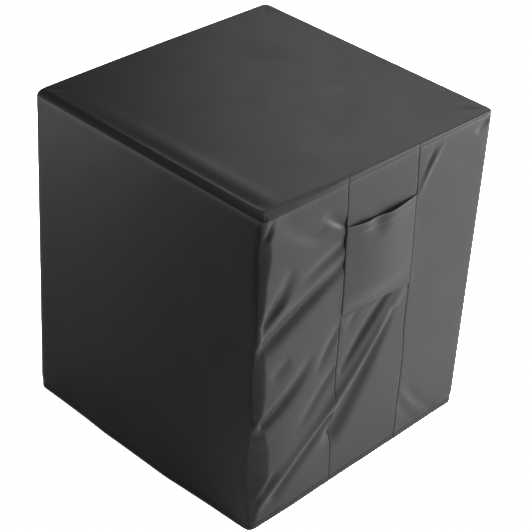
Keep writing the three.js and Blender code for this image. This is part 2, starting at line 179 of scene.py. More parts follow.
# Folds of each wall, placed by its own axis and its height: x for the front and the back, y for
# the two sides.
FRONT_FOLDS = (
    Fold("mouth dimple", (-119, 777), (-204, 842), 0, (13, 17), (-3.5, -6, -1)),
    Fold("mouth wedge", (-119, 766), (-206, 796), 0, (11, 18), (2.2, 2.2, 0)),
    Fold("upper swag", (-364, 889), (-124, 755), 18, (26, 22), (0, -6, -3)),
    Fold("mouth run", (-119, 730), (-272, 677), 0, (16, 18), (-4, -4.5, 0)),
    Fold("main trough", (-126, 668), (-392, 540), 0, (18, 24), (-4, -11, -10)),
    Fold("upper trough", (-299, 738), (-410, 580), -15, (22, 15), (0, -8, -10)),
    Fold("corner ridge", (-305, 649), (-412, 577), 0, (12, 11), (1, 4, 4)),
    Fold("top pinch", (-383, 882), (-408, 843), -8, (10, 11), (-2, -7, -4)),
    Fold("lower corner trough", (-216, 443), (-380, 318), -15, (20, 17), (-1, -9, -10)),
    Fold("soft patch", (-290, 470), (-358, 440), 0, (20, 20), (0, -4, 0)),
    Fold("seam run", (-128, 478), (-196, 382), 0, (15, 16), (-3, -4, 0)),
    Fold("lower seam run", (-133, 360), (-252, 250), 0, (15, 18), (-4, -4.5, -1)),
    Fold("long ridge", (127, 508), (-400, 66), -37, (17, 21), (1, 9, 4)),
    Fold("strip trough", (84, 446), (-112, 160), -10, (13, 28), (-4, -10, -13)),
    Fold("upper strip trough", (54, 504), (-94, 349), 0, (15, 13), (-6, -10, -4)),
    Fold("under ridge", (-135, 214), (-322, 74), 9, (17, 20), (-10, -10, -5)),
    Fold("hem ridge", (-349, 157), (-390, 96), 0, (10, 10), (1, 3, 2)),
    Fold("hem corner trough", (-333, 137), (-400, 58), 0, (12, 12), (-3, -6, -6)),
    Fold("pocket tuck", (-58, 510), (-92, 452), 0, (12, 18), (-2.5, -1.5, 0)),
    Fold("top seam ridge", (215, 878), (150, 776), 8, (10, 10), (1, 3, 1)),
    Fold("top seam valley", (186, 880), (158, 830), 0, (9, 9), (-1, -2, -1)),
    Fold("right top crease", (398, 900), (342, 866), 0, (9, 12), (-3, -3, 0)),
    Fold("hem swag, upper", (184, 148), (311, 27), 6, (15, 17), (-1.5, -3.4, -2)),
    Fold("hem swag ridge", (167, 139), (262, 41), 5, (13, 13), (0.6, 1.8, 0.6)),
    Fold("hem swag, lower", (160, 110), (238, 32), 7, (13, 14), (-1.4, -2.8, -1.4)),
)

LEFT_FOLDS = (
    Fold("front top crease", (-398, 896), (-352, 872), 0, (6, 9), (-2.0, -1.2, 0)),
    Fold("front top ridge", (-396, 878), (-350, 848), 0, (8, 10), (0.8, 0.6, 0)),
    Fold("rear top crease", (398, 892), (362, 862), 0, (6, 9), (-1.8, -1.0, 0)),
    Fold("hem slack", (130, 4), (96, 150), 0, (46, 60), (1.6, 1.0, 0)),
    Fold("hem slack, front", (-120, 4), (-96, 130), 0, (50, 60), (1.8, 1.0, 0)),
)
RIGHT_FOLDS = (
    Fold("front top crease", (-398, 896), (-340, 864), 0, (6, 10), (-2.0, -1.2, 0)),
    Fold("long drag", (-380, 700), (-120, 520), 16, (14, 20), (-0.6, -2.2, 0)),
    Fold("low drag", (-300, 60), (-60, 260), 12, (18, 22), (-1.2, -2.0, 0)),
    Fold("rear drag", (392, 640), (180, 470), -12, (12, 20), (-0.8, -1.8, 0)),
    Fold("hem slack", (90, 4), (60, 160), 0, (50, 60), (1.6, 1.0, 0)),
)
BACK_FOLDS = (
    Fold("left top crease", (-398, 894), (-346, 860), 0, (6, 10), (-2.0, -1.2, 0)),
    Fold("right top crease", (398, 894), (350, 866), 0, (6, 10), (-1.8, -1.0, 0)),
    Fold("swag", (-330, 840), (20, 730), 22, (22, 26), (0, -2.0, -0.6)),
    Fold("low drag", (370, 90), (120, 300), -14, (16, 24), (-1.0, -2.2, 0)),
    Fold("hem slack", (-60, 4), (-30, 150), 0, (56, 60), (1.8, 1.0, 0)),
)
# Folds of the top, placed across it and from front to back.
TOP_FOLDS = (
    Fold("front edge line", (-300, -384), (160, -388), 4, (5, 5), (-0.5, -1.1, -0.4)),
    Fold("right corner crease", (388, -388), (330, -352), 4, (6, 11), (-1.6, -1.2, 0)),
    Fold("right corner ridge", (396, -352), (338, -334), 0, (8, 10), (0.8, 0.7, 0)),
    Fold("left corner crease", (-386, 386), (-330, 340), 0, (7, 12), (-1.2, -1.0, 0)),
    Fold("back corner crease", (388, 388), (334, 346), 0, (7, 12), (-1.2, -0.8, 0)),
)


@dataclass(frozen=True)
class Ripples:
    """Small unevenness of the cloth, from a few seeded waves.

    Args:
        seed: which set of waves.
        height: how far they stand out at most, in millimetres.
        shortest: shortest wave.
        longest: longest wave.
        count: how many waves are added up.
    """

    seed: int
    height: float
    shortest: float
    longest: float
    count: int = 9

    def at(self, s: np.ndarray, z: np.ndarray) -> np.ndarray:
        """Height of the ripples.

        Args:
            s: places across the wall.
            z: places up it.

        Returns:
            How far the cloth stands out there because of them.
        """
        draw = np.random.default_rng(self.seed)
        total = np.zeros(np.broadcast(s, z).shape)
        for _ in range(self.count):
            wave = draw.uniform(self.shortest, self.longest)
            turn, phase = draw.uniform(0, 2 * math.pi, 2)
            place = s * math.cos(turn) + z * math.sin(turn)
            total += np.sin(2 * math.pi * place / wave + phase)
        return self.height * total / math.sqrt(self.count)


@dataclass(frozen=True)
class SeamDip:
    """How the cloth dips and puckers beside a line of sewing.

    Args:
        depth: how far it dips at the sewing.
        reach: how wide the dip is.
        pucker: height of the small puckers that run out of the seam.
        pucker_reach: how far they run.
        pitch: average distance between two puckers.
    """

    depth: float = 1.9
    reach: float = 1.3
    pucker: float = 0.11
    pucker_reach: float = 13.0
    pitch: float = 37.0

    def at(self, distance: np.ndarray, run: np.ndarray) -> np.ndarray:
        """Height beside a seam.

        Args:
            distance: how far from the seam.
            run: how far along the seam.

        Returns:
            How far the cloth stands out, below zero at the seam.
        """
        # Two waves of unlike length keep the puckers from repeating.
        turns = 2 * math.pi * run / self.pitch
        uneven = np.sin(turns + 1.7 * np.sin(turns / 5.3)) + 0.5 * np.sin(turns / 2.6 + 0.8)
        away = np.abs(distance)
        return self.pucker * uneven * np.exp(-away / self.pucker_reach) - self.depth * np.exp(
            -away / self.reach
        )


DIP = SeamDip()


@dataclass(frozen=True)
class HemBand:
    """The turned-up hem: a slightly fuller band below a line of stitching.

    Args:
        stitch: height of the stitching above the edge.
        full: how far the band stands out.
        dip: how deep the stitching sits.
        dip_reach: half the width of its groove.
        flare: how far the band's lower edge stands out beyond that.
        pucker: how far the cloth puckers along the stitching.
        pucker_pitch: distance between two puckers.
        pucker_drift: how unevenly they follow each other, and over what length.
        pucker_reach: how far from the stitching they show.
        bulge: power of the band's profile, fuller the lower it is.
    """

    stitch: float = 16.0
    full: float = 0.5
    dip: float = 1.7
    dip_reach: float = 2.0
    flare: float = 2.4
    pucker: float = 0.05
    pucker_pitch: float = 19.0
    pucker_drift: tuple[float, float] = (1.5, 31.0)
    pucker_reach: float = 13.0
    bulge: float = 0.8

    def at(self, z: np.ndarray, run: np.ndarray) -> np.ndarray:
        """Height of the band.

        Args:
            z: heights above the edge of the hem.
            run: how far along the hem.

        Returns:
            How far the cloth stands out.
        """
        band = self.full * np.sin(np.pi * np.clip(z / self.stitch, 0, 1)) ** self.bulge
        groove = self.dip * mound(z - self.stitch, self.dip_reach)
        drift = self.pucker_drift[0] * np.sin(run / self.pucker_drift[1])
        pucker = self.pucker * np.sin(2 * math.pi * run / self.pucker_pitch + drift)
        flare = self.flare * np.clip(1 - z / self.stitch, 0, 1)
        return band + flare - groove + pucker * mound(z - self.stitch, self.pucker_reach)


HEM_BAND = HemBand()

# How far the top seam lies below the top at the four corners.
SEAM_DROP = {"front_left": 17.0, "front_right": 6.5, "back_right": 10.0, "back_left": 15.0}


def seam_drop(x: np.ndarray, y: np.ndarray) -> np.ndarray:
    """How far the top seam lies below the top.

    Args:
        x: places of points of the outline, to the right.
        y: their places, to the back.

    Returns:
        The drop at each point.
    """
    tx, ty = (x + HALF) / WIDTH, (y + HALF) / WIDTH
    front = SEAM_DROP["front_left"] * (1 - tx) + SEAM_DROP["front_right"] * tx
    back = SEAM_DROP["back_left"] * (1 - tx) + SEAM_DROP["back_right"] * tx
    return front * (1 - ty) + back * ty


def turn_in(distance: np.ndarray, seam_at: np.ndarray, depth: np.ndarray,
            reach: np.ndarray) -> np.ndarray:
    """How far cloth turns in toward a corner seam.

    Args:
        distance: how far from the corner's plane.
        seam_at: where the seam lies.
        depth: how far in the cloth is at the seam.
        reach: where the turn starts.

    Returns:
        The depth at each distance.
    """
    # Above 1, the cloth stays flat longer and turns in late.
    lateness = 1.35
    return depth * (np.maximum(reach - distance, 0) / (reach - seam_at)) ** lateness


class Side(Enum):
    """The four walls: the way into the cover, and whether s runs leftward seen from outside."""

    FRONT = ((0.0, 1.0), False)
    RIGHT = ((-1.0, 0.0), False)
    BACK = ((0.0, -1.0), True)
    LEFT = ((1.0, 0.0), True)


@dataclass(frozen=True)
class FrontWall:
    """The loose front wall, which leans, swells at its lower left and carries the folds.

    Args:
        out_left: how far the hem stands out at the wall's left.
        in_right: how far it stands in at its right.
        lean_curve: how late the one changes into the other.
        belly: middle of the swelling, across and up the wall.
        belly_reach: how far it reaches, across and up.
        belly_out: how far it stands out.
        fold_fade: distance over which the folds die out at the edges.
        pocket_low: height of the pocket's foot, where the lift beside the pocket starts.
        pocket_high: height of its mouth, where the lift ends.
        lift: how far the side panels are lifted beside the pocket.
        lift_reach: how far from the seam that shows.
        lift_fade: distance over which it starts and ends.
        foot_ends: heights of the pocket's foot at its two ends.
        foot_pull: how far the strip is pulled in along the foot.
        foot_reach: how wide that is.
        flat_from: height from which the strip loses its folds, behind the pocket and above it.
        flat_to: height above which it has none.
        pucker_shift: shift of the right seam's puckers against those of the left seam.
        ripples: its small unevenness.
        side: which wall it is.
    """

    out_left: float = 8.0
    in_right: float = 13.5
    lean_curve: float = 1.3
    belly: tuple[float, float] = (-300.0, 230.0)
    belly_reach: tuple[float, float] = (150.0, 200.0)
    belly_out: float = 10.0
    fold_fade: float = 22.0
    pocket_low: float = 500.0
    pocket_high: float = 786.0
    lift: float = 1.4
    lift_reach: float = 12.0
    lift_fade: float = 24.0
    foot_ends: tuple[float, float] = (517.0, 500.0)
    foot_pull: float = 2.6
    foot_reach: float = 4.5
    flat_from: float = 497.0
    flat_to: float = 512.0
    pucker_shift: float = 90.0
    ripples: Ripples = Ripples(11, 0.22, 90, 260)
    side: Side = Side.FRONT

    def swell(self, x: np.ndarray | float, z: np.ndarray) -> np.ndarray:
        """How far the wall leans and swells out, without its folds.

        Args:
            x: places across the wall.
            z: places up it.

        Returns:
            How far it stands out from its plane there.
        """
        across = np.clip((x + HALF) / WIDTH, 0, 1) ** self.lean_curve
        lean = (1 - z / HEIGHT) * (self.out_left - (self.out_left + self.in_right) * across)
        round_x = mound(x - self.belly[0], self.belly_reach[0])
        return lean + self.belly_out * round_x * mound(z - self.belly[1], self.belly_reach[1])

    def folds(self, x: np.ndarray, z: np.ndarray) -> np.ndarray:
        """Sum of the folds, dying out toward the edges and on the strip above the pocket's foot.

        Args:
            x: places across the wall.
            z: places up it.

        Returns:
            How far the cloth stands out there because of them.
        """
        corner = LOOSE_CORNER.read("along", z)
        ends = smooth((x + HALF - corner) / self.fold_fade) * smooth((HALF - x) / self.fold_fade)
        top = smooth((HEIGHT - z - SEAM_DROP["front_right"]) / self.fold_fade)
        on_strip = (x > LEFT_SEAM.read("x", z)) & (x < RIGHT_SEAM.read("x", z))
        behind = smooth((z - self.flat_from) / (self.flat_to - self.flat_from))
        clear = np.where(on_strip, 1 - behind, 1.0)
        total = sum(fold.height(x, z) for fold in FRONT_FOLDS)
        total = total + self.ripples.at(x, z)
        return total * ends * top * clear

    def out(self, x: np.ndarray, z: np.ndarray) -> np.ndarray:
        """How far the wall stands out from its plane.

        Args:
            x: places across the wall.
            z: places up it.

        Returns:
            The distance at each place.
        """
        read, plain = LOOSE_CORNER.read, PLAIN_CORNER.read
        left = turn_in(x + HALF, read("along", z), read("back", z), read("reach", z))
        right = turn_in(HALF - x, plain("along", z), plain("back", z), plain("reach", z))
        from_left, from_right = x - LEFT_SEAM.read("x", z), x - RIGHT_SEAM.read("x", z)
        seams = DIP.at(from_left, z) + DIP.at(from_right, z + self.pucker_shift)
        seams = seams + self.sewn_in(from_left, from_right, z)
        foot = self.foot(from_left, from_right, z)
        return self.swell(x, z) + self.folds(x, z) - left - right + seams - foot

    def foot(self, from_left: np.ndarray, from_right: np.ndarray, z: np.ndarray) -> np.ndarray:
        """How far the strip is pulled in along the line where the pocket's foot is sewn to it.

        Args:
            from_left: how far to the right of the left long seam.
            from_right: how far to the right of the right long seam.
            z: places up the wall.

        Returns:
            The distance at each place.
        """
        across = np.clip(from_left / (from_left - from_right), 0, 1)
        line = self.foot_ends[0] + across * (self.foot_ends[1] - self.foot_ends[0])
        on_strip = (from_left > 0) & (from_right < 0)
        return np.where(on_strip, self.foot_pull * mound(z - line, self.foot_reach), 0.0)

    def sewn_in(self, from_left: np.ndarray, from_right: np.ndarray, z: np.ndarray) -> np.ndarray:
        """How far the side panels are lifted beside the pocket that is sewn into their seams.

        Args:
            from_left: how far to the right of the left long seam.
            from_right: how far to the right of the right long seam.
            z: places up the wall.

        Returns:
            The distance at each place.
        """
        start = smooth((z - self.pocket_low) / self.lift_fade)
        beside = start * smooth((self.pocket_high - z) / self.lift_fade)
        outside = np.where(from_left < 0, -from_left, np.where(from_right > 0, from_right, np.inf))
        return self.lift * beside * np.exp(-outside / self.lift_reach)

    def point(self, x: np.ndarray, z: np.ndarray) -> np.ndarray:
        """Points of the outer face at x across and z up."""
        return np.stack([x, -HALF - self.out(x, z), z], axis=-1)


@dataclass(frozen=True)
class PlainWall:
    """A taut wall that bows out a little toward its hem.

    Args:
        side: which wall it is.
        bow_at: where along it the bow is widest.
        bow_out: how far it bows out at the hem.
        folds: its few folds and creases.
        ripples: its small unevenness.
        side_reach: how far from its corners it starts to turn in.
        end_fade: distance over which folds and unevenness die out at its ends.
        top_fade: distance over which they die out below its top.
        top_plain: height of the plain band under its top.
    """

    side: Side
    bow_at: float
    bow_out: float
    folds: tuple[Fold, ...]
    ripples: Ripples
    side_reach: float = 13.0
    end_fade: float = 40.0
    top_fade: float = 30.0
    top_plain: float = 6.0

    def low(self, z: np.ndarray) -> dict[str, np.ndarray]:
        """The seam at the wall's low end.

        Args:
            z: heights.

        Returns:
            Where the seam lies, how far in from the corner that is, and its depth.
        """
        if self.side is Side.BACK:
            return self.plain_end(-1, z)
        table = LOOSE_CORNER if self.side is Side.LEFT else PLAIN_CORNER
        edge = -HALF if self.side is Side.LEFT else HALF
        back = table.read("back", z)
        place = -HALF - FRONT.swell(edge, z) + back
        return {"at": place, "inset": back, "depth": table.read("along", z)}

    def high(self, z: np.ndarray) -> dict[str, np.ndarray]:
        """The seam at the wall's high end."""
        return self.plain_end(1, z)

    def plain_end(self, sign: int, z: np.ndarray) -> dict[str, np.ndarray]:
        """The seam at a plain corner.

        Args:
            sign: +1 for the high end of the wall and -1 for the low one.
            z: heights.

        Returns:
            Where the seam lies, how far in from the corner that is, and its depth.
        """
        inset = PLAIN_CORNER.read("back", z)
        return {"at": sign * (HALF - inset), "inset": inset, "depth": PLAIN_CORNER.read("along", z)}

    def low_edge(self, z: np.ndarray) -> np.ndarray:
        """Where the seam at the low end lies."""
        return self.low(z)["at"]

    def high_edge(self, z: np.ndarray) -> np.ndarray:
        """Where the seam at the high end lies."""
        return self.high(z)["at"]

    def out(self, s: np.ndarray, z: np.ndarray) -> np.ndarray:
        """How far the wall stands out from its plane.

        Args:
            s: places along the wall.
            z: places up it.

        Returns:
            The distance at each place.
        """
        low, high = self.low(z), self.high(z)
        half = np.where(s < self.bow_at, self.bow_at + HALF, HALF - self.bow_at)
        t = np.minimum(np.abs(s - self.bow_at) / half, 1)
        swell = self.bow_out * (1 - smooth(t)) * smooth(1 - z / HEIGHT)
        from_low = s - low["at"] + low["inset"]
        from_high = high["at"] + high["inset"] - s
        turned = turn_in(from_low, low["inset"], low["depth"], self.side_reach + low["inset"])
        turned = turned + turn_in(
            from_high, high["inset"], high["depth"], self.side_reach + high["inset"]
        )
        fade = smooth(from_low / self.end_fade) * smooth(from_high / self.end_fade)
        fade = fade * smooth((HEIGHT - z - self.top_plain) / self.top_fade)
        uneven = sum(fold.height(s, z) for fold in self.folds) + self.ripples.at(s, z)
        return swell - turned + uneven * fade

    def point(self, s: np.ndarray, z: np.ndarray) -> np.ndarray:
        """Points of the outer face.

        Args:
            s: places along the wall.
            z: places up it.

        Returns:
            The points.
        """
        out = self.out(s, z)
        if self.side is Side.LEFT:
            return np.stack([-HALF - out, s, z], axis=-1)
        if self.side is Side.RIGHT:
            return np.stack([HALF + out, s, z], axis=-1)
        return np.stack([s, HALF + out, z], axis=-1)


FRONT = FrontWall()
LEFT = PlainWall(Side.LEFT, -50, 9, LEFT_FOLDS, Ripples(21, 0.22, 90, 240))
RIGHT = PlainWall(Side.RIGHT, 40, 5, RIGHT_FOLDS, Ripples(22, 0.3, 80, 220))
BACK = PlainWall(Side.BACK, -30, 7, BACK_FOLDS, Ripples(23, 0.3, 80, 220))


def grid_normals(points: np.ndarray) -> np.ndarray:
    """Outward unit normals of a grid.

    Args:
        points: rows of points, the rows upward and each from left to right seen from outside.

    Returns:
        The normal at each point.
    """
    across = np.gradient(points, axis=1)
    up = np.gradient(points, axis=0)
    normal = np.cross(across, up)
    return normal / np.maximum(np.linalg.norm(normal, axis=-1, keepdims=True), 1e-9)


def mesh_object(name: str, points: np.ndarray, faces: np.ndarray, cloth: np.ndarray,
                wear_and_sheen: np.ndarray) -> bpy.types.Object:
    """Makes one object from points in millimetres.

    Args:
        name: name of the piece.
        points: its corner points, in millimetres.
        faces: corners of each four-sided face.
        cloth: place of each point on the flat cloth, in metres.
        wear_and_sheen: rubbing of each point, and a painted highlight along the walls' top edges, from 0 to
            1.

    Returns:
        The object, linked into the scene.
    """
    mesh = bpy.data.meshes.new(name)
    mesh.from_pydata((points * MM).tolist(), [], faces.tolist())
    corners = np.zeros(len(mesh.loops), np.int32)
    mesh.loops.foreach_get("vertex_index", corners)
    layer = mesh.uv_layers.new(name="Cloth")
    layer.data.foreach_set("uv", cloth[corners].astype(np.float32).ravel())
    # Share of the pale colour: rubbing, and a painted highlight along the walls' top edges.
    rubbed_and_sheen = mesh.attributes.new("wear_and_sheen", "FLOAT", "POINT")
    rubbed_and_sheen.data.foreach_set("value", wear_and_sheen.astype(np.float32))
    mesh.polygons.foreach_set("use_smooth", np.ones(len(mesh.polygons), bool))
    mesh.set_sharp_from_angle(angle=math.radians(SHARP_ANGLE))
    made = bpy.data.objects.new(name, mesh)
    bpy.context.scene.collection.objects.link(made)
    return made


def closed_sheet(name: str, outer: np.ndarray, thickness: np.ndarray, wear_and_sheen: np.ndarray,
                 around: bool = False) -> bpy.types.Object:
    """Gives a grid its thickness and closes it.

    Args:
        name: name of the piece.
        outer: outer face, rows of points that run left to right seen from outside.
        thickness: thickness at each point.
        wear_and_sheen: rubbing at each point, and a painted highlight along the walls' top edges.
        around: whether each row closes on itself.

    Returns:
        The finished piece.
    """
    rows, columns = outer.shape[:2]
    if around:
        wrapped = np.concatenate([outer[:, -1:], outer, outer[:, :1]], axis=1)
        normals = grid_normals(wrapped)[:, 1:-1]
    else:
        normals = grid_normals(outer)
    inner = outer - normals * thickness[..., None]
    count = rows * columns
    index = np.arange(count).reshape(rows, columns)
    if around:
        index = np.concatenate([index, index[:, :1]], axis=1)
    a, b, c, d = index[:-1, :-1], index[:-1, 1:], index[1:, 1:], index[1:, :-1]
    faces = [np.stack([a, b, c, d], -1).reshape(-1, 4)]
    faces.append(np.stack([a, d, c, b], -1).reshape(-1, 4) + count)
    low, high = index[0], index[-1]
    faces.append(np.stack([low[:-1], low[:-1] + count, low[1:] + count, low[1:]], -1))
    faces.append(np.stack([high[:-1], high[1:], high[1:] + count, high[:-1] + count], -1))
    if not around:
        left, right = index[:, 0], index[:, -1]
        faces.append(np.stack([left[:-1], left[1:], left[1:] + count, left[:-1] + count], -1))
        faces.append(np.stack([right[:-1], right[:-1] + count, right[1:] + count, right[1:]], -1))
    run = np.linalg.norm(np.diff(outer, axis=1), axis=-1).cumsum(axis=1)
    run = np.concatenate([np.zeros((rows, 1)), run], axis=1)
    rise = np.linalg.norm(np.diff(outer, axis=0), axis=-1).cumsum(axis=0)
    rise = np.concatenate([np.zeros((1, columns)), rise], axis=0)
    cloth = np.stack([run, rise], -1).reshape(-1, 2) * MM
    return mesh_object(
        name,
        np.concatenate([outer.reshape(-1, 3), inner.reshape(-1, 3)]),
        np.concatenate(faces),
        np.concatenate([cloth, cloth]),
        np.concatenate([wear_and_sheen.ravel(), wear_and_sheen.ravel() * 0]),
    )


def linear(code: str) -> tuple[float, float, float, float]:
    """Turns an sRGB hex colour into linear light.

    Args:
        code: six hex digits.

    Returns:
        Red, green, blue and alpha.
    """
    values = [int(code[i : i + 2], 16) / 255 for i in (0, 2, 4)]
    turned = [v / 12.92 if v <= 0.04045 else ((v + 0.055) / 1.055) ** 2.4 for v in values]
    return (*turned, 1.0)


def add_node(tree: bpy.types.NodeTree, kind: str, settings: dict | None = None,
             values: dict | None = None, links: dict | None = None) -> bpy.types.Node:
    """Adds a shader node.

    Args:
        tree: the tree it joins.
        kind: Blender's name for the node.
        settings: its properties.
        values: numbers and colours of its inputs.
        links: outputs that its inputs take.

    Returns:
        The new node.
    """
    node = tree.nodes.new(kind)
    for name, value in (settings or {}).items():
        setattr(node, name, value)
    for name, value in (values or {}).items():
        node.inputs[name].default_value = value
    for name, source in (links or {}).items():
        tree.links.new(source, node.inputs[name])
    return node


def blank_material(name: str) -> bpy.types.Material:
    """Makes a material with an empty node tree.

    Args:
        name: name of the material.

    Returns:
        The material.
    """
    material = bpy.data.materials.new(name)
    material.use_nodes = True
    material.node_tree.nodes.clear()
    return material


@dataclass(frozen=True)
class CoatedPolyester:
    """PVC-coated polyester: woven yarn under a coating that was spread on and rolled smooth.

    The coating gives the eye a soft satin sheen, with the weave only faintly under it.

    Args:
        name: its name in the scene.
        deep: colour of most of the cloth.
        pale: colour of its paler clouds.
        rubbed_and_sheen: colour along rubbed edges, and of the highlight painted along the walls' top
            edges.
        thread: distance between two yarns, in millimetres.
        grain: width of the grain that the rollers leave, in millimetres.
        cloud: width of the paler clouds, in millimetres.
        ior: how strongly the coating bends light.
        gloss: strength of its shine.
        smoothest: roughness where it is smoothest.
        roughest: roughness where it is roughest.
        weave_bump: strength and height, in metres, of the weave under the coating.
        grain_bump: strength and height, in metres, of the grain.
    """

    name: str = "coated polyester"
    deep: str = "121212"
    pale: str = "181818"
    rubbed_and_sheen: str = "303030"
    thread: float = 2.2  # real yarn is near 0.6, too fine to show, so it is drawn this coarse
    grain: float = 4.0
    cloud: float = 130.0
    ior: float = 1.5
    gloss: float = 0.048  # matched to the photo's dull cloth, far below a real coating's 0.5
    smoothest: float = 0.42
    roughest: float = 0.48
    weave_bump: tuple[float, float] = (0.12, 0.0004)
    grain_bump: tuple[float, float] = (0.16, 0.0006)

    def build(self) -> bpy.types.Material:
        """Makes the material.

        Returns:
            The finished material.
        """
        material = blank_material(self.name)
        tree = material.node_tree
        place = add_node(tree, "ShaderNodeTexCoord")
        cloth = add_node(tree, "ShaderNodeUVMap", {"uv_map": "Cloth"})
        # A wave texture repeats every 0.314 units at scale 1.
        scale = 0.31416 / (2 * self.thread * MM)
        yarns = [
            add_node(
                tree, "ShaderNodeTexWave",
                {"wave_type": "BANDS", "bands_direction": way, "wave_profile": "SIN"},
                {"Scale": scale, "Distortion": 0.0}, {"Vector": cloth.outputs[0]},
            )
            for way in ("X", "Y")
        ]
        weave = add_node(
            tree, "ShaderNodeMath", {"operation": "MULTIPLY"}, None,
            {0: yarns[0].outputs["Fac"], 1: yarns[1].outputs["Fac"]},
        )
        grain = add_node(
            tree, "ShaderNodeTexNoise", None,
            {"Scale": 1 / (self.grain * MM), "Detail": 3.0, "Roughness": 0.55},
            {"Vector": place.outputs["Object"]},
        )
        clouds = add_node(
            tree, "ShaderNodeTexNoise", None,
            {"Scale": 1 / (self.cloud * MM), "Detail": 4.0, "Roughness": 0.6},
            {"Vector": place.outputs["Object"]},
        )
        mottle = add_node(
            tree, "ShaderNodeMix", {"data_type": "RGBA"},
            {"A": linear(self.deep), "B": linear(self.pale)}, {"Factor": clouds.outputs["Fac"]},
        )
        # The attribute mixes in the pale colour: rubbing, and a highlight painted along the walls' top
        # edges, strongest on the left wall.
        wear_and_sheen = add_node(tree, "ShaderNodeAttribute", {"attribute_name": "wear_and_sheen"})
        colour = add_node(
            tree, "ShaderNodeMix", {"data_type": "RGBA"}, {"B": linear(self.rubbed_and_sheen)},
            {"Factor": wear_and_sheen.outputs["Fac"], "A": mottle.outputs["Result"]},
        )
        # The clouds' noise runs from about 0.3 to 0.7.
        polish = add_node(
            tree, "ShaderNodeMapRange", None,
            {"From Min": 0.3, "From Max": 0.7, "To Min": self.smoothest, "To Max": self.roughest},
            {"Value": clouds.outputs["Fac"]},
        )
        woven = add_node(
            tree, "ShaderNodeBump", None,
            {"Strength": self.weave_bump[0], "Distance": self.weave_bump[1]},
            {"Height": weave.outputs[0]},
        )
        rolled = add_node(
            tree, "ShaderNodeBump", None,
            {"Strength": self.grain_bump[0], "Distance": self.grain_bump[1]},
            {"Height": grain.outputs["Fac"], "Normal": woven.outputs[0]},
        )
        shader = add_node(
            tree, "ShaderNodeBsdfPrincipled", None,
            {"IOR": self.ior, "Metallic": 0.0, "Specular IOR Level": self.gloss},
            {
                "Base Color": colour.outputs["Result"],
                "Roughness": polish.outputs["Result"],
                "Normal": rolled.outputs[0],
            },
        )
        add_node(tree, "ShaderNodeOutputMaterial", None, None, {"Surface": shader.outputs[0]})
        return material


@dataclass(frozen=True)
class SewingThread:
    """Bonded polyester thread: filaments twisted and waxed, glossier than the cloth.

    Args:
        name: its name in the scene.
        dark: colour between its filaments.
        light: colour of its filaments.
        twist: width of the twisted filaments, in millimetres.
    """

    name: str = "bonded thread"
    dark: str = "101010"
    light: str = "161616"
    twist: float = 1.2  # real filaments are near 0.02, too fine to show, so drawn this coarse

    def build(self) -> bpy.types.Material:
        """Makes the material.

        Returns:
            The finished material.
        """
        material = blank_material(self.name)
        tree = material.node_tree
        place = add_node(tree, "ShaderNodeTexCoord")
        fibres = add_node(
            tree, "ShaderNodeTexNoise", None, {"Scale": 1 / (self.twist * MM), "Detail": 2.0},
            {"Vector": place.outputs["Object"]},
        )
        colour = add_node(
            tree, "ShaderNodeMix", {"data_type": "RGBA"},
            {"A": linear(self.dark), "B": linear(self.light)}, {"Factor": fibres.outputs["Fac"]},
        )
        twisted = add_node(
            tree, "ShaderNodeBump", None, {"Strength": 0.3, "Distance": 0.0002},
            {"Height": fibres.outputs["Fac"]},
        )
        shader = add_node(
            tree, "ShaderNodeBsdfPrincipled", None, {"IOR": 1.53, "Roughness": 0.4},
            {"Base Color": colour.outputs["Result"], "Normal": twisted.outputs[0]},
        )
        add_node(tree, "ShaderNodeOutputMaterial", None, None, {"Surface": shader.outputs[0]})
        return material


@dataclass(frozen=True)
class StudioPaint:
    """Matt emulsion on the studio floor, rolled on: an even pale ground.

    Args:
        name: its name in the scene.
        tint: its colour.
        shade: colour of its slightly darker clouds.
    """

    name: str = "matt floor paint"
    tint: str = "f4f4f4"
    shade: str = "f0f0f0"

    def build(self) -> bpy.types.Material:
        """Makes the material.

        Returns:
            The finished material.
        """
        material = blank_material(self.name)
        tree = material.node_tree
        place = add_node(tree, "ShaderNodeTexCoord")
        rolled = add_node(
            tree, "ShaderNodeTexNoise", None, {"Scale": 0.8}, {"Vector": place.outputs["Object"]}
        )
        colour = add_node(
            tree, "ShaderNodeMix", {"data_type": "RGBA"},
            {"A": linear(self.tint), "B": linear(self.shade)}, {"Factor": rolled.outputs["Fac"]},
        )
        shader = add_node(
            tree, "ShaderNodeBsdfPrincipled", None, {"Roughness": 0.9},
            {"Base Color": colour.outputs["Result"]},
        )
        add_node(tree, "ShaderNodeOutputMaterial", None, None, {"Surface": shader.outputs[0]})
        return material


@dataclass
class Finishes:
    """The finishes that the pieces share.

    Args:
        cloth: the coated cloth.
        thread: the thread of the stitching.
    """

    cloth: bpy.types.Material = field(default_factory=CoatedPolyester().build)
    thread: bpy.types.Material = field(default_factory=SewingThread().build)


